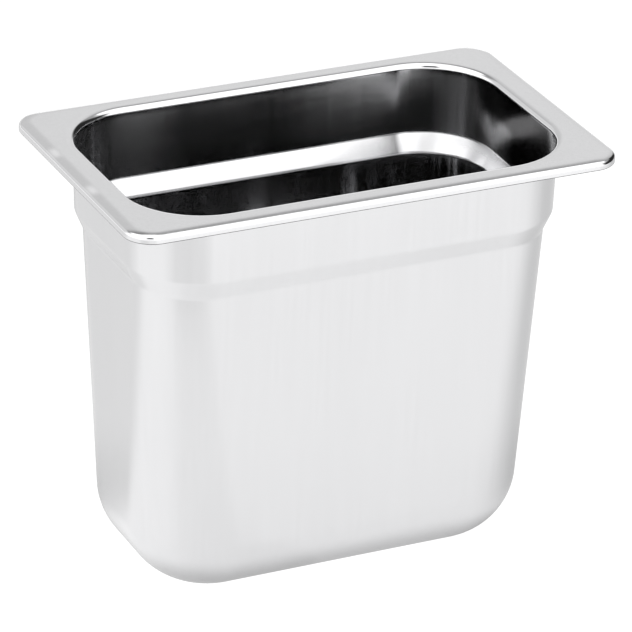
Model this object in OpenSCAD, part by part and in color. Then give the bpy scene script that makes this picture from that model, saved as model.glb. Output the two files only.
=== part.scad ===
// A small, deep food pan of one-ninth catering size, drawn from one sheet of stainless steel.
// X runs along the long side, Z is up, and the origin is the middle of the base.
// The pan is one piece of metal: base, body, shoulder, collar, rim and lip are all the same sheet.

/* [Overall size] */
// Length over the rim, along X
rim_l = 176; // [172:0.5:182]
// Width over the rim, along Y
rim_w = 108; // [107:0.5:114]
// Height from the base to the top of the rim
pan_h = 150; // [110:1:200]
// Thickness of the sheet
sheet = 0.8; // [0.5:0.05:1]

/* [Rim] */
// Corner radius of the rim's outer edge
rim_corner = 10; // [8:0.5:16]
// Width of the soft slope between the flat rim and the lip
lip_ease = 3.4; // [2:0.1:3.8]
// Radius of the bend that turns the lip down, over the top of the sheet
lip_bend = 1.5; // [1.2:0.1:2]
// Height of the upright part of the lip
lip_straight = 1.3; // [0.5:0.1:3]

/* [Opening] */
// Length of the opening, where the flat rim starts to slope
opening_l = 160; // [154:0.5:160]
// Width of the opening, where the flat rim starts to slope
opening_w = 96; // [90:0.5:96]
// Corner radius of the opening, where the flat rim starts to slope
opening_corner = 29; // [26:0.5:34]
// Width of the soft slope between the flat rim and the opening's bend
opening_ease = 1.9; // [1:0.1:3]
// Radius of the bend from the rim into the wall, over the top of the sheet
opening_bend = 1.8; // [1.2:0.1:3]
// Angle that both soft slopes reach before their tight bends
ease_slope = 14; // [8:1:20]

/* [Wall] */
// Draft of the wall, in degrees from upright
draft = 1.5; // [1:0.1:3]
// Depth below the rim at which the stacking shoulder starts
shoulder_start = 24.7; // [18:0.1:30]
// Height of the stacking shoulder
shoulder_h = 8; // [6:0.2:12]
// How far the shoulder steps in on each side
shoulder_step = 2.7; // [1:0.1:4]
// Share of the shoulder's height that each of its two bends takes
shoulder_ease = 0.15; // [0.1:0.01:0.4]

/* [Base] */
// Corner radius where the wall starts to bend into the base, outside
base_corner = 29.4; // [27:0.2:34]
// Radius of the bend from the wall into the base, outside
base_bend = 25.3; // [15:0.1:26]

/* [Hidden] */

steel = [0.78, 0.79, 0.8];

// How finely the sheet is drawn: steps round a plan corner, and along each bend of the section
corner_steps = 12;
base_steps = 12;
shoulder_steps = 3;
ease_steps = 2;
bend_steps = 6;

// Tilt is how far the sheet leans from level: 0 for the rim and the base, 90 where the sheet stands
// upright and its top side faces inwards, and -90 where it hangs upright and faces outwards.
wall_tilt = 90 - draft;
lip_tilt = -90;

// How far a fold reaches sideways, from the edge of the flat rim to the end of its bend
function fold_reach(ease_w, radius, tilt) = ease_w + radius * (sin(tilt) - sin(ease_slope));

// Plan of the flat rim's two edges: half length, half width
opening_half = [opening_l / 2, opening_w / 2];
lip_reach = fold_reach(lip_ease, lip_bend, 90);
rim_half = [rim_l / 2, rim_w / 2] - [1, 1] * lip_reach;

// Fall of a soft slope, from the flat rim to its tight bend
function ease_fall(ease_w) = ease_w * tan(ease_slope / 2);

// Under side of the wall where it leaves the opening's bend, and the height of the shoulder's top
wall_reach = fold_reach(opening_ease, opening_bend, wall_tilt) - sheet * sin(wall_tilt);
wall_half = opening_half - [1, 1] * wall_reach;
wall_corner = opening_corner - wall_reach;
wall_top_z = pan_h - ease_fall(opening_ease)
    - opening_bend * cos(ease_slope) + (opening_bend - sheet) * cos(wall_tilt);
shoulder_top_z = pan_h - shoulder_start;

// Where the wall ends and the bend into the base starts
base_top_z = base_bend * (1 - cos(wall_tilt));

// How much of its step the shoulder has made, and how steeply, at a part of its height from 0 at its top
// to 1 at its foot: it eases in, runs straight, and eases out.
function shoulder_done(part) =
    part <= 0 ? 0
    : part >= 1 ? 1
    : part > 0.5 ? 1 - shoulder_done(1 - part)
    : part < shoulder_ease ? part * part / (2 * shoulder_ease * (1 - shoulder_ease))
    : (part - shoulder_ease / 2) / (1 - shoulder_ease);
function shoulder_slope(part) = min(part, 1 - part, shoulder_ease) / (shoulder_ease * (1 - shoulder_ease));

// How far the wall has come in at a height, from its draft and its shoulder
function wall_inset(z) =
    tan(draft) * (wall_top_z - z) + shoulder_step * shoulder_done((shoulder_top_z - z) / shoulder_h);

// A level is one height of the sheet's under side: [half length, half width, corner radius, height,
// tilt]. Growing it moves its whole outline outwards by the same distance.
function level(half, corner, z, tilt, grow) = [half.x + grow, half.y + grow, corner + grow, z, tilt];

// Levels round a bend about one centre line. A bend that is hollow on top has a positive radius, and
// one that is rounded over the top has a negative radius.
function bend(half, corner, centre_z, radius, from, to, steps) = [
    for (i = [0:steps])
        let (tilt = from + (to - from) * i / steps)
        level(half, corner, centre_z - radius * cos(tilt), tilt, radius * sin(tilt))
];

// Levels from the edge of the flat rim over a soft slope and round a tight bend. Side is 1 for the
// lip, which folds outwards, and -1 for the opening, which folds inwards.
function fold(half, corner, side, ease_w, radius, tilt) =
    let (ease_radius = ease_w / sin(ease_slope))
    let (shift = side * (ease_w - radius * sin(ease_slope)))
    let (centre_z = pan_h - ease_fall(ease_w) - radius * cos(ease_slope))
    concat(
        bend(half, corner, pan_h - ease_radius, sheet - ease_radius, 0, -side * ease_slope, ease_steps),
        bend(half + [1, 1] * shift, corner + shift, centre_z, sheet - radius,
            -side * ease_slope, tilt, bend_steps)
    );

// Levels of each stretch of the sheet, from the base outwards
function base_levels() =
    let (reach = base_bend * sin(wall_tilt))
    let (half = wall_half - [1, 1] * (wall_inset(base_top_z) + reach))
    bend(half, base_corner - reach, base_bend, base_bend, 0, wall_tilt, base_steps);

function shoulder_levels() =
    let (bend_parts = [for (i = [0:shoulder_steps]) shoulder_ease * i / shoulder_steps])
    let (foot_parts = [for (part = bend_parts) 1 - part])
    let (top_parts = [for (i = [shoulder_steps:-1:0]) bend_parts[i]])
    [
        for (part = concat(foot_parts, top_parts))
            let (z = shoulder_top_z - shoulder_h * part)
            let (lean = atan(tan(draft) + shoulder_slope(part) * shoulder_step / shoulder_h))
            level(wall_half, wall_corner, z, 90 - lean, -wall_inset(z))
    ];

function opening_levels() =
    let (levels = fold(opening_half, opening_corner, -1, opening_ease, opening_bend, wall_tilt))
    [for (i = [len(levels) - 1:-1:0]) levels[i]];

function lip_levels() =
    let (levels = fold(rim_half, rim_corner - lip_reach, 1, lip_ease, lip_bend, lip_tilt))
    let (last = levels[len(levels) - 1])
    concat(levels, [level([last[0], last[1]], last[2], last[3] - lip_straight, lip_tilt, 0)]);

// One closed outline of the sheet at a level: a rectangle with round corners. Lift is 0 on the under
// side of the sheet and its thickness on the top side.
function outline(at, lift) =
    let (grow = -lift * sin(at[4]))
    let (r = at[2] + grow)
    let (middle_x = at[0] + grow - r)
    let (middle_y = at[1] + grow - r)
    let (z = at[3] + lift * cos(at[4]))
    [
        for (side = [[1, 1, 0], [-1, 1, 90], [-1, -1, 180], [1, -1, 270]], i = [0:corner_steps])
            let (turn = side[2] + 90 * i / corner_steps)
            [side[0] * middle_x + r * cos(turn), side[1] * middle_y + r * sin(turn), z]
    ];

// The sheet's top side runs from the middle of the base up the wall and out over the rim to the edge
// of the lip, and its under side runs back again. The body, between the base's bend and the shoulder,
// and the collar above the shoulder are straight, and the body's corners grow softer towards the base.
module pan() {
    levels = concat(base_levels(), shoulder_levels(), opening_levels(), lip_levels());
    last = len(levels) - 1;
    outlines = concat(
        [for (i = [0:last]) outline(levels[i], sheet)],
        [for (i = [last:-1:0]) outline(levels[i], 0)]
    );
    count = 4 * (corner_steps + 1);
    rings = len(outlines);
    sides = [
        for (ring = [0:rings - 2], i = [0:count - 1])
            let (next = (i + 1) % count)
            let (here = ring * count)
            let (there = here + count)
            [here + i, here + next, there + next, there + i]
    ];
    floor_face = [for (i = [count - 1:-1:0]) i];
    base_face = [for (i = [0:count - 1]) (rings - 1) * count + i];
    color(steel)
        polyhedron(
            points = [for (ring = outlines) each ring],
            faces = concat([floor_face], sides, [base_face]),
            convexity = 6
        );
}

pan();
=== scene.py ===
import math

import bpy
import numpy as np
from mathutils import Matrix, Vector


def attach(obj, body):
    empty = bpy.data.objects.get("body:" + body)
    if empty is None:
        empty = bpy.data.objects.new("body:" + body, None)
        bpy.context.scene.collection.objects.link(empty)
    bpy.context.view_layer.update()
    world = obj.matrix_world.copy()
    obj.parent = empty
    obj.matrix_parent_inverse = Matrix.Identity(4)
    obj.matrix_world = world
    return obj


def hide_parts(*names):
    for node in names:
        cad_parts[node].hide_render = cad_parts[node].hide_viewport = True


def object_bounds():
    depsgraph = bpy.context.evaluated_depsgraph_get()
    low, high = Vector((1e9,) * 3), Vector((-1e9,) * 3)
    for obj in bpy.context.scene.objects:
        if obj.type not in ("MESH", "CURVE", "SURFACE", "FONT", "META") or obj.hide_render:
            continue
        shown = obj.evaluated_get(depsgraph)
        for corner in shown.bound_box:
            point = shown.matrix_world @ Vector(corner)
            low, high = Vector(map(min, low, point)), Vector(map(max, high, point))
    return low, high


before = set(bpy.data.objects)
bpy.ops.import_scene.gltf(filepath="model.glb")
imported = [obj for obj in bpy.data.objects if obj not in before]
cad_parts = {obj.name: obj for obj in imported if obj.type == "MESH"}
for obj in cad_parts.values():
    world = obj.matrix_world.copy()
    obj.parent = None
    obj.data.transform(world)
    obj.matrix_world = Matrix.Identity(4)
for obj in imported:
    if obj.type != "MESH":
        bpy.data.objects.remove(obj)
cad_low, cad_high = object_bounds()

# A small, deep food pan, drawn from one sheet of stainless steel, on a pale floor in a white studio.
# X runs along the long side, -Y is the front and Z is up. The origin is the middle of the base.

# Sizes of the pan in metres. The overall box comes from the frame. The rest are the drawn sheet's own
# dimensions, over its top side unless a comment says otherwise.
RIM_HALF = np.array([cad_high.x, cad_high.y])
PAN_H = cad_high.z
SHEET = 0.0008

RIM_CORNER = 0.010
LIP_EASE = 0.0034
LIP_BEND = 0.0015
LIP_STRAIGHT = 0.0013

OPENING_HALF = np.array([0.080, 0.048])
OPENING_CORNER = 0.029
OPENING_EASE = 0.0019
OPENING_BEND = 0.0018
EASE_SLOPE = math.radians(14)

DRAFT = math.radians(1.5)
SHOULDER_START = 0.0247  # below the rim
SHOULDER_H = 0.008
SHOULDER_STEP = 0.0027
SHOULDER_EASE = 0.15  # share of the shoulder's height that each of its two bends takes

BASE_CORNER = 0.0294  # outside
BASE_BEND = 0.0253  # outside
EDGE_ROUND = 0.0003  # of the lip's cut edge

# How finely the sheet is drawn
CORNER_STEPS = 24
SIDE_STEPS = 16
BASE_STEPS = 20
BODY_STEPS = 16
SHOULDER_STEPS = 40
EASE_STEPS = 8
BEND_STEPS = 12
EDGE_STEPS = 6

# Tilt is how far the sheet leans from level: 0 for the rim and the base, a quarter turn where it stands
# upright and its top side faces inwards, and minus a quarter turn where it hangs upright.
WALL_TILT = math.pi / 2 - DRAFT
LIP_TILT = -math.pi / 2

# Corners of the plan, in the order that every ring of points runs round them
CORNERS = [(1, 1), (-1, 1), (-1, -1), (1, -1)]

# Parts of the sheet's surface that have a finish of their own, as places in its list of materials
TOP_SIDE, UNDER_SIDE, CUT_EDGE = range(3)

# Bare steel
STEEL_TINT = (1.0, 1.0, 1.012)
STEEL_BRIGHT = 0.62  # share of the light that it gives back
SCRATCH_DEPTH = 0.00003
WAVE_DEPTH = 0.0003
SHADE_DEPTH = 0.0004


# ---- The pan: one sheet, drawn as levels from the base out to the lip ----------------------------


def shoulder_done(part):
    """How much of its step the shoulder has made, at a part of its height from 0 at its top to 1."""
    part = min(max(part, 0), 1)
    if part > 0.5:
        return 1 - shoulder_done(1 - part)
    if part < SHOULDER_EASE:
        return part * part / (2 * SHOULDER_EASE * (1 - SHOULDER_EASE))
    return (part - SHOULDER_EASE / 2) / (1 - SHOULDER_EASE)


def shoulder_slope(part):
    """How steeply the shoulder steps in, at a part of its height."""
    return min(part, 1 - part, SHOULDER_EASE) / (SHOULDER_EASE * (1 - SHOULDER_EASE))


def fold_reach(ease_w, radius, tilt):
    """How far a fold reaches sideways, from the edge of the flat rim to the end of its bend."""
    return ease_w + radius * (math.sin(tilt) - math.sin(EASE_SLOPE))


def ease_fall(ease_w):
    """Fall of a soft slope, from the flat rim to its tight bend."""
    return ease_w * math.tan(EASE_SLOPE / 2)


LIP_REACH = fold_reach(LIP_EASE, LIP_BEND, math.pi / 2)
WALL_REACH = fold_reach(OPENING_EASE, OPENING_BEND, WALL_TILT) - SHEET * math.sin(WALL_TILT)
WALL_HALF = OPENING_HALF - WALL_REACH
WALL_CORNER = OPENING_CORNER - WALL_REACH
WALL_TOP_Z = (PAN_H - ease_fall(OPENING_EASE) - OPENING_BEND * math.cos(EASE_SLOPE)
              + (OPENING_BEND - SHEET) * math.cos(WALL_TILT))
SHOULDER_TOP_Z = PAN_H - SHOULDER_START
SHOULDER_FOOT_Z = SHOULDER_TOP_Z - SHOULDER_H
BASE_TOP_Z = BASE_BEND * (1 - math.cos(WALL_TILT))
BODY_H = SHOULDER_FOOT_Z - BASE_TOP_Z


def wall_inset(z):
    """How far the wall has come in at a height, from its draft and its shoulder."""
    part = (SHOULDER_TOP_Z - z) / SHOULDER_H
    return math.tan(DRAFT) * (WALL_TOP_Z - z) + SHOULDER_STEP * shoulder_done(part)


def level(half, corner, z, tilt, grow=0.0, flare=0.0):
    """One height of the sheet's under side. Flare is how fast its corners grow softer with height."""
    return (half[0] + grow, half[1] + grow, corner + grow, z, tilt, flare)


def bend(half, corner, centre_z, radius, start, end, steps):
    """Levels round a bend: a positive radius is hollow on top, a negative one is rounded over."""
    tilts = np.linspace(start, end, steps + 1)
    return [level(half, corner, centre_z - radius * math.cos(t), t, radius * math.sin(t)) for t in tilts]


def fold(half, corner, side, ease_w, radius, tilt):
    """Levels from the flat rim over a soft slope and round a tight bend, outwards if side is 1."""
    ease_radius = ease_w / math.sin(EASE_SLOPE)
    shift = side * (ease_w - radius * math.sin(EASE_SLOPE))
    centre_z = PAN_H - ease_fall(ease_w) - radius * math.cos(EASE_SLOPE)
    slope = -side * EASE_SLOPE
    soft = bend(half, corner, PAN_H - ease_radius, SHEET - ease_radius, 0, slope, EASE_STEPS)
    tight = bend(half + shift, corner + shift, centre_z, SHEET - radius, slope, tilt, BEND_STEPS)
    return soft + tight[1:]


def base_levels():
    """The bend from the flat base into the body."""
    reach = BASE_BEND * math.sin(WALL_TILT)
    half = WALL_HALF - wall_inset(BASE_TOP_Z) - reach
    return bend(half, BASE_CORNER - reach, BASE_BEND, BASE_BEND, 0, WALL_TILT, BASE_STEPS)


def body_levels():
    """The straight body, whose corners grow softer towards the base."""
    foot_corner = WALL_CORNER - wall_inset(SHOULDER_FOOT_Z)
    flare = (foot_corner - BASE_CORNER) / BODY_H - math.tan(DRAFT)
    out = []
    for step in range(1, BODY_STEPS):
        z = BASE_TOP_Z + BODY_H * step / BODY_STEPS
        corner = BASE_CORNER + (foot_corner - BASE_CORNER) * step / BODY_STEPS
        out.append(level(WALL_HALF - wall_inset(z), corner, z, WALL_TILT, flare=flare))
    return out


def shoulder_levels():
    """The stacking shoulder, from its foot to its top."""
    out = []
    for step in range(SHOULDER_STEPS + 1):
        part = 1 - step / SHOULDER_STEPS
        z = SHOULDER_TOP_Z - SHOULDER_H * part
        lean = math.atan(math.tan(DRAFT) + shoulder_slope(part) * SHOULDER_STEP / SHOULDER_H)
        out.append(level(WALL_HALF, WALL_CORNER, z, math.pi / 2 - lean, -wall_inset(z)))
    return out


def opening_levels():
    """The bend from the collar's wall out into the flat rim."""
    return fold(OPENING_HALF, OPENING_CORNER, -1, OPENING_EASE, OPENING_BEND, WALL_TILT)[::-1]


def lip_levels():
    """The lip, from the flat rim down to where the rounding of its cut edge starts."""
    levels = fold(RIM_HALF - LIP_REACH, RIM_CORNER - LIP_REACH, 1, LIP_EASE, LIP_BEND, LIP_TILT)
    half_x, half_y, corner, z, tilt, flare = levels[-1]
    end = (half_x, half_y, corner, z - LIP_STRAIGHT + EDGE_ROUND, tilt, flare)
    return levels + [end]


def outline(at, lift):
    """One ring of points and normals at a level: a rectangle with round corners.

    Lift is 0 on the under side of the sheet and its thickness on the top side."""
    half_x, half_y, corner, z, tilt, flare = at
    grow = -lift * math.sin(tilt)
    corner = corner + grow
    middle = np.array([half_x + grow - corner, half_y + grow - corner])
    top = z + lift * math.cos(tilt)
    ring, normals = [], []
    for quarter, side in enumerate(CORNERS):
        for step in range(CORNER_STEPS + 1):
            turn = math.pi / 2 * (quarter + step / CORNER_STEPS)
            plan = np.array([math.cos(turn), math.sin(turn)])
            point = middle * side + corner * plan
            ring.append((point[0], point[1], top))
            lean = flare * (abs(plan[0]) + abs(plan[1]) - 1) * math.sin(tilt)
            normals.append((-math.sin(tilt) * plan[0], -math.sin(tilt) * plan[1], math.cos(tilt) - lean))
        # the straight side to the next corner, which keeps this corner's last direction
        start = middle * side
        end = middle * CORNERS[(quarter + 1) % len(CORNERS)]
        for step in range(1, SIDE_STEPS):
            point = start + (end - start) * step / SIDE_STEPS + corner * plan
            ring.append((point[0], point[1], top))
            normals.append((-math.sin(tilt) * plan[0], -math.sin(tilt) * plan[1], math.cos(tilt)))
    return np.array(ring), np.array(normals)


def cut_edge_rings(last):
    """Rings of points and normals round the lip's cut edge, from its top side to its under side."""
    middle, spread = SHEET / 2, SHEET / 2 - EDGE_ROUND
    out = []
    for step in range(1, 2 * EDGE_STEPS):
        angle = math.pi * step / (2 * EDGE_STEPS)
        side = 1 if step < EDGE_STEPS else -1
        ring, normal = outline(last, middle + spread * side + EDGE_ROUND * math.cos(angle))
        ring[:, 2] -= EDGE_ROUND * math.sin(angle)
        plan = normal * math.cos(angle)
        plan[:, 2] = -math.sin(angle)
        out.append((ring, plan))
    return out


def pan_mesh():
    """The closed sheet: out along its top side, round the lip's cut edge, and back along its under side."""
    levels = base_levels() + body_levels() + shoulder_levels() + opening_levels() + lip_levels()
    top = [outline(at, SHEET) for at in levels]
    under = [outline(at, 0) for at in levels[::-1]]
    rings = top + cut_edge_rings(levels[-1]) + [(ring, -normal) for ring, normal in under]
    strips = ([TOP_SIDE] * (len(levels) - 1) + [CUT_EDGE] * (2 * EDGE_STEPS)
              + [UNDER_SIDE] * (len(levels) - 1))

    count = len(rings[0][0])
    faces, finishes = [], []
    for strip, finish in enumerate(strips):
        here = strip * count
        for i in range(count):
            after = (i + 1) % count
            faces.append((here + i, here + count + i, here + count + after, here + after))
            finishes.append(finish)
    # the flat middle of the base, inside and underneath
    faces.append(tuple(range(count)))
    faces.append(tuple(reversed(range((len(rings) - 1) * count, len(rings) * count))))
    finishes += [TOP_SIDE, UNDER_SIDE]

    points = np.concatenate([ring for ring, normal in rings])
    normals = np.concatenate([normal for ring, normal in rings])
    normals /= np.linalg.norm(normals, axis=1)[:, None]
    mesh = bpy.data.meshes.new("pan_sheet")
    mesh.from_pydata(points.tolist(), [], faces)
    mesh.polygons.foreach_set("material_index", finishes)
    mesh.shade_smooth()
    mesh.normals_split_custom_set_from_vertices(normals.tolist())
    return mesh


# ---- Node graphs ---------------------------------------------------------------------------------


class Graph:
    """Adds nodes to a material or a world in short calls, each of which gives back an output socket."""

    def __init__(self, owner):
        owner.use_nodes = True
        self.tree = owner.node_tree

    def node(self, kind, output=0, **values):
        """A node of a kind. Values are set on the inputs of those names, with _ for a space."""
        made = self.tree.nodes.new("ShaderNode" + kind)
        for name, value in values.items():
            self.feed(made.inputs[name.replace("_", " ")], value)
        return made.outputs[output]

    def feed(self, socket, value):
        """Links an output to a socket, or sets a plain value on it."""
        if isinstance(value, bpy.types.NodeSocket):
            self.tree.links.new(value, socket)
        else:
            socket.default_value = value

    def math(self, operation, *values):
        made = self.tree.nodes.new("ShaderNodeMath")
        made.operation = operation
        for socket, value in zip(made.inputs, values):
            self.feed(socket, value)
        return made.outputs[0]

    def add(self, *values):
        total = values[0]
        for value in values[1:]:
            total = self.math("ADD", total, value)
        return total

    def times(self, *values):
        total = values[0]
        for value in values[1:]:
            total = self.math("MULTIPLY", total, value)
        return total

    def opposite(self, value):
        """1 where the value is 0, and 0 where it is 1."""
        return self.add(1.0, self.times(value, -1.0))

    def absolute(self, value):
        return self.math("ABSOLUTE", value)

    def span(self, value, low, high, to_low=0.0, to_high=1.0):
        """A soft step from to_low at low to to_high at high."""
        made = self.tree.nodes.new("ShaderNodeMapRange")
        made.interpolation_type = "SMOOTHERSTEP"
        for name, number in {"From Min": low, "From Max": high, "To Min": to_low, "To Max": to_high}.items():
            made.inputs[name].default_value = number
        self.feed(made.inputs["Value"], value)
        return made.outputs["Result"]

    def bell(self, value, middle, width):
        """A soft bump that is 1 at the middle and 0 from the width away from it."""
        return self.span(self.absolute(self.add(value, -middle)), 0.0, width, 1.0, 0.0)

    def xyz(self, vector):
        made = self.tree.nodes.new("ShaderNodeSeparateXYZ")
        self.feed(made.inputs[0], vector)
        return made.outputs

    def facing(self, x, y, away, azimuth):
        """How nearly x, y faces an azimuth, as a cosine, where away is the length of x, y.

        Azimuth 0 is the front, -Y, and 90 is the right, +X."""
        turn = math.radians(azimuth)
        toward = self.add(self.times(x, math.sin(turn)), self.times(y, -math.cos(turn)))
        return self.math("DIVIDE", toward, away)

    def grain(self, point, stretch, scale, detail=3.0):
        """Noise about 0, from about -1 to 1, that is finer along the axes with a larger stretch."""
        spread = self.tree.nodes.new("ShaderNodeVectorMath")
        spread.operation = "MULTIPLY"
        self.feed(spread.inputs[0], point)
        spread.inputs[1].default_value = stretch
        noise = self.node("TexNoise", Vector=spread.outputs[0], Scale=scale, Detail=detail, Roughness=0.55)
        return self.add(self.times(noise, 4.0), -2.0)

    def bump(self, height, strength, distance, normal=None):
        made = self.tree.nodes.new("ShaderNodeBump")
        made.inputs["Strength"].default_value = strength
        made.inputs["Distance"].default_value = distance
        self.feed(made.inputs["Height"], height)
        if normal is not None:
            self.feed(made.inputs["Normal"], normal)
        return made.outputs[0]


# ---- Steel ---------------------------------------------------------------------------------------


def steel(name, finish):
    """Bare stainless steel. The finish gives its brightness, its roughness and its bumped normal."""
    material = bpy.data.materials.new(name)
    graph = Graph(material)
    shader = graph.tree.nodes["Principled BSDF"]
    shader.inputs["Metallic"].default_value = 1.0
    point = graph.node("TexCoord", output=3)
    bright, rough, normal = finish(graph, point)
    tint = graph.tree.nodes.new("ShaderNodeVectorMath")
    tint.operation = "SCALE"
    tint.inputs[0].default_value = STEEL_TINT
    graph.feed(tint.inputs["Scale"], bright)
    graph.feed(shader.inputs["Base Color"], tint.outputs[0])
    graph.feed(shader.inputs["Roughness"], rough)
    graph.feed(shader.inputs["Normal"], normal)
    return material


def rubbed_bands(graph, point, inner):
    """Where the collar's inside is rubbed by other pans and lids: a patchy band below the opening, and a
    well worn stretch of the back wall."""
    x, y, z = graph.xyz(point)
    patch = graph.span(graph.grain(point, (0.4, 0.4, 2), 30), -0.8, 0.8)
    patchy = graph.times(inner, graph.span(z, 0.120, 0.145), graph.span(x, 0.070, 0.058),
                         graph.add(0.4, graph.times(patch, 0.6)))
    worn = graph.times(inner, graph.bell(x, 0.034, 0.036), graph.span(y, 0.0, 0.03),
                       graph.span(z, 0.120, 0.132))
    return patchy, worn


def spread_haze(graph, point, inner):
    """Extra roughness inside, placed to spread the reflections: on both ends of the collar, and on the
    shoulder towards the right end."""
    x, y, z = graph.xyz(point)
    left_end = graph.times(inner, graph.span(x, -0.024, -0.046), graph.span(z, 0.121, 0.125))
    right_end = graph.times(inner, graph.span(x, 0.060, 0.070), graph.span(z, 0.119, 0.125),
                            graph.span(graph.absolute(y), 0.004, 0.022, 0.4, 1.0))
    shelf = graph.times(inner, graph.span(x, 0.022, 0.040), graph.bell(z, 0.1208, 0.008))
    return graph.add(graph.times(left_end, 0.08), graph.times(right_end, 0.14), graph.times(shelf, 0.11))


def brightened_spots(graph, point, inner):
    """Spots where the steel's colour is brighter, put there instead of reflections that the studio doesn't
    give: two on the lip's left slope, and one on the shoulder's inside, behind."""
    x, y, z = graph.xyz(point)
    lip = graph.times(graph.bell(x, -0.0858, 0.0024),
                      graph.add(graph.bell(y, 0.019, 0.006), graph.bell(y, -0.013, 0.006)))
    shelf = graph.times(inner, graph.span(y, 0.0, 0.03), graph.bell(x, 0.049, 0.012),
                        graph.bell(z, 0.121, 0.008))
    return graph.add(lip, shelf)


def darkened_end(graph, point):
    """Where the steel's colour is nearly black, instead of a dark reflection that the studio doesn't give:
    the collar's inside at its right end, apart from one clear spot low down. Real steel isn't dark there."""
    x, y, z = graph.xyz(point)
    clear = graph.times(graph.bell(y, 0.016, 0.014), graph.span(z, 0.140, 0.134))
    return graph.times(graph.span(z, 0.1486, 0.1476), graph.span(x, 0.0715, 0.0765),
                       graph.span(z, 0.122, 0.127), graph.span(y, -0.030, -0.018), graph.opposite(clear))


def bright_finish(graph, point):
    """The rim, the lip and the inside: polished, with a fine grain on the rim, draw lines and waves down
    the inside, and a haze below the opening. Its colour also has bright and dark places that stand in for
    reflections. They are fixed to the steel, so they show in every view and every light. The roughness
    stays under about 0.27, because the denoised render shows a hard line where it crosses that."""
    x, y, z = graph.xyz(point)
    rim = graph.span(z, 0.1455, 0.1490)
    inner = graph.opposite(rim)
    fine = graph.grain(point, (1, 1, 1), 950)
    draw = graph.grain(point, (1, 1, 0.03), 420)
    wave = graph.grain(point, (1, 1, 0.35), 45, 2.0)
    rub = graph.grain(point, (0.15, 0.15, 1), 700)
    patchy, worn = rubbed_bands(graph, point, inner)
    rim_grain = graph.times(fine, rim)
    inner_draw = graph.times(draw, inner)

    rough = graph.add(0.09, graph.times(patchy, 0.075), graph.times(worn, 0.085),
                      spread_haze(graph, point, inner), graph.times(rub, graph.add(patchy, worn), 0.008),
                      graph.times(rim_grain, 0.018), graph.times(inner_draw, 0.01))
    bright = graph.add(STEEL_BRIGHT, graph.times(rim_grain, 0.016), graph.times(inner_draw, 0.012),
                       graph.times(wave, 0.006), graph.times(brightened_spots(graph, point, inner), 0.22),
                       graph.times(darkened_end(graph, point), -0.56))
    height = graph.add(graph.times(rim_grain, 0.30), graph.times(inner_draw, 0.03),
                       graph.times(rub, patchy, 0.1))
    return bright, rough, graph.bump(height, 0.22, SCRATCH_DEPTH, graph.bump(wave, 0.08, WAVE_DEPTH))


def satin_finish(graph, point):
    """The outside and the underside: satin, with fine upright draw lines, broad soft shades, and stacking
    scuffs along the shoulder and the bend into the base."""
    z = graph.xyz(point)[2]
    draw = graph.grain(point, (1, 1, 0.02), 650)
    shade = graph.grain(point, (1, 1, 0.4), 28, 2.0)
    fine = graph.grain(point, (1, 1, 1), 1200)
    smear = graph.span(graph.grain(point, (0.5, 0.5, 1), 90), 0.15, 1.1)
    scuff = graph.times(smear, graph.add(graph.bell(z, 0.1215, 0.010), graph.bell(z, 0.010, 0.012)))
    rough = graph.add(0.20, graph.times(draw, 0.02), graph.times(shade, 0.012), graph.times(scuff, 0.04))
    bright = graph.add(STEEL_BRIGHT, graph.times(draw, 0.008), graph.times(shade, 0.006),
                       graph.times(scuff, 0.02))
    height = graph.add(draw, graph.times(fine, 0.4))
    return bright, rough, graph.bump(height, 0.10, SCRATCH_DEPTH, graph.bump(shade, 0.12, SHADE_DEPTH))


def cut_finish(graph, point):
    """The sheared edge of the lip: dull, with short upright shear marks, and its colour much darker than the
    steel's, which is painted shade that draws a dark line along the lip's lower edge.
    """
    shear = graph.grain(point, (1, 1, 0.15), 2200)
    # the low brightness is painted shade: a dark line along the lip's lower edge
    bright = graph.add(0.07, graph.times(shear, 0.02))
    rough = graph.add(0.42, graph.times(shear, 0.06))
    return bright, rough, graph.bump(shear, 0.3, SCRATCH_DEPTH)


# ---- Camera --------------------------------------------------------------------------------------


def add_camera():
    """A long lens from the front left, looking down at the pan."""
    turn, height, roll = math.radians(-25.52), math.radians(25.69), math.radians(1.63)
    aim_right, aim_up, distance = 0.0038, 0.0752, 1.58686
    back = Vector((math.sin(turn) * math.cos(height), -math.cos(turn) * math.cos(height), math.sin(height)))
    level_right = Vector((math.cos(turn), math.sin(turn), 0))
    level_up = back.cross(level_right)
    right = level_right * math.cos(roll) + level_up * math.sin(roll)
    up = level_up * math.cos(roll) - level_right * math.sin(roll)
    data = bpy.data.cameras.new("camera")
    data.sensor_width = 36
    data.lens = 260.7
    data.clip_end = 50
    camera = bpy.data.objects.new("camera", data)
    place = right * aim_right + up * aim_up + back * distance
    camera.matrix_world = Matrix.Translation(place) @ Matrix((right, up, back)).transposed().to_4x4()
    bpy.context.scene.collection.objects.link(camera)
    bpy.context.scene.camera = camera


# ---- Floor ---------------------------------------------------------------------------------------


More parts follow.
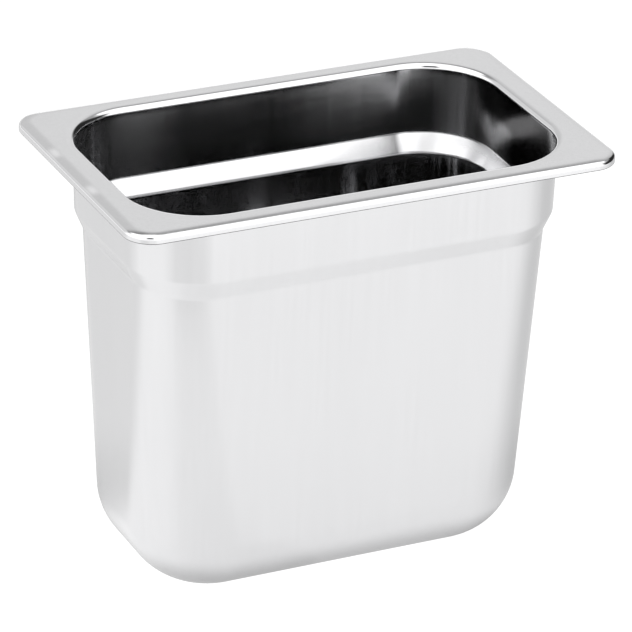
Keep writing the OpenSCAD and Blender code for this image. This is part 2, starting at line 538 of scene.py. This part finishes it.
def painted_floor_light(graph):
    """Painted light and shade in the reflected floor's colour and glow: brightest far in front and to the
    left, and darker behind and on the open side of the room, with painted shadow close round the pan's foot,
    and near it behind on the left and to the right."""
    x, y, z = graph.xyz(graph.node("TexCoord", output=3))
    away = graph.math("SQRT", graph.add(graph.times(x, x), graph.times(y, y), 1e-6))
    left = graph.span(graph.facing(x, y, away, -102), 0.7, 0.98)
    front_left = graph.span(graph.facing(x, y, away, -38), 0.86, 0.99)
    behind_left = graph.span(graph.facing(x, y, away, -154), 0.6, 0.95)
    behind_right = graph.span(graph.facing(x, y, away, 130), 0.1, 0.95)
    far_off = graph.span(away, 0.20, 0.28)
    far_front = graph.span(y, -0.322, -0.334)
    to_right = graph.span(x, 0.03, 0.13)

    # how far a point is past the flat middle of the base
    past_x = graph.math("MAXIMUM", graph.add(graph.absolute(x), -0.046), 0.0)
    past_y = graph.math("MAXIMUM", graph.add(graph.absolute(y), -0.014), 0.0)
    past = graph.math("SQRT", graph.add(graph.times(past_x, past_x), graph.times(past_y, past_y)))
    # masks of painted shadow on the floor: close round the pan's foot, and a wider ring near the pan
    foot = graph.span(past, 0.008, 0.036, 1.0, 0.0)
    near = graph.span(past, 0.03, 0.12, 1.0, 0.0)

    # painted light and shade: the floor's colour and glow follow the room's light and the pan's shadow
    return graph.add(1.0, graph.times(left, 0.035), graph.times(front_left, -0.05),
                     graph.times(behind_left, -0.21), graph.times(behind_right, -0.36),
                     graph.times(far_front, 0.15), graph.times(foot, -0.36),
                     graph.times(front_left, far_off, -0.09), graph.times(near, behind_left, -0.20),
                     graph.times(near, to_right, -0.15))


def floor_material(name, lit_within, pale, tone=None):
    """A pale floor, partly lit from within like a light table. Tone makes its strength uneven, in its colour
    as well as its glow, which paints light and shade on it.
    """
    material = bpy.data.materials.new(name)
    graph = Graph(material)
    shader = graph.tree.nodes["Principled BSDF"]
    shader.inputs["Roughness"].default_value = 1.0
    shader.inputs["Specular IOR Level"].default_value = 0.0
    shader.inputs["Emission Color"].default_value = (1, 1, 1, 1)
    if tone is None:
        shader.inputs["Base Color"].default_value = (pale, pale, pale, 1)
        shader.inputs["Emission Strength"].default_value = lit_within
    else:
        strength = tone(graph)
        # the tone paints light and shade into the floor's colour
        graph.feed(shader.inputs["Base Color"], graph.times(strength, pale))
        graph.feed(shader.inputs["Emission Strength"], graph.times(strength, lit_within))
    return material


def add_floor(name, material, seen):
    """A large level plane. The camera sees it if seen is true, and the steel reflects it if not."""
    reach = 8.0
    edge = [(-reach, -reach, 0), (reach, -reach, 0), (reach, reach, 0), (-reach, reach, 0)]
    mesh = bpy.data.meshes.new(name)
    mesh.from_pydata(edge, [], [(0, 1, 2, 3)])
    mesh.materials.append(material)
    floor = bpy.data.objects.new(name, mesh)
    floor.visible_camera = seen
    floor.visible_diffuse = not seen
    floor.visible_glossy = not seen
    bpy.context.scene.collection.objects.link(floor)


# ---- Light ---------------------------------------------------------------------------------------


def rear_light(graph, x, y, flat, height):
    """Strength of the rear half of the studio: a backdrop that fades upwards to a grey gap, with a dimmer
    stretch in its middle and a bright strip at its foot, and a light above it. Heights are in degrees
    above the floor."""
    backdrop = graph.span(height, 31, 47, 1.03, 0.50)
    low_down = graph.span(height, 5, 27, -0.10, 0.0)
    strip = graph.span(height, 1, 9, 0.75, 0.0)
    dim_stretch = graph.times(graph.span(graph.facing(x, y, flat, 175), 0.945, 0.99), -0.17)
    light_above = graph.span(height, 46.5, 52.5, 0.0, 1.5)
    return graph.add(backdrop, graph.add(low_down, strip), dim_stretch, light_above)


def dark_places(graph, x, y, flat, height):
    """What is left of the light where the studio is dark: in a gap in front, where the camera looks in,
    and on the open, right side of the room."""
    gap = graph.times(graph.span(graph.facing(x, y, flat, -28), 0.95, 0.992),
                      graph.span(height, 50, 66, 1.0, 0.0), graph.span(height, -20, -5))
    open_side = graph.times(graph.span(graph.facing(x, y, flat, 92), 0.6, 0.86),
                            graph.span(height, 32, 46, 1.0, 0.0))
    return graph.times(graph.add(1.0, graph.times(gap, graph.span(height, 23, 32, -0.12, -0.95))),
                       graph.add(1.0, graph.times(open_side, -0.97)))


def add_world():
    """Surroundings shaped for the steel to reflect, soft white with dark places in front and on the right.
    The camera sees plain white instead."""
    world = bpy.data.worlds.new("studio")
    bpy.context.scene.world = world
    graph = Graph(world)
    x, y, z = graph.xyz(graph.node("TexCoord"))
    flat = graph.math("SQRT", graph.math("MAXIMUM", graph.add(1.0, graph.times(z, z, -1.0)), 0.0001))
    height = graph.times(graph.math("ARCSINE", z), 180 / math.pi)

    front = 1.9
    behind = graph.span(graph.facing(x, y, flat, 155), 0.0, 0.6)
    rear = rear_light(graph, x, y, flat, height)
    white = graph.add(front, graph.times(behind, graph.add(rear, -front)))
    reflected = graph.times(white, dark_places(graph, x, y, flat, height))

    to_camera = graph.node("LightPath")
    strength = graph.add(to_camera, graph.times(reflected, graph.opposite(to_camera)))
    background = graph.tree.nodes["Background"]
    background.inputs["Color"].default_value = (1, 1, 1, 1)
    graph.feed(background.inputs["Strength"], strength)


add_camera()
add_floor("floor", floor_material("pale_floor", 0.85, 0.35), seen=True)
add_floor("reflected_floor", floor_material("reflected_floor", 0.84, 0.42, painted_floor_light), seen=False)
add_world()

pan = bpy.data.objects.new("pan_sheet", pan_mesh())
bpy.context.scene.collection.objects.link(pan)
# in the order of TOP_SIDE, UNDER_SIDE and CUT_EDGE
pan.data.materials.append(steel("steel_bright", bright_finish))
pan.data.materials.append(steel("steel_satin", satin_finish))
pan.data.materials.append(steel("steel_cut", cut_finish))
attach(pan, "root")
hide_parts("pan")

bpy.context.scene.view_settings.view_transform = "Standard"
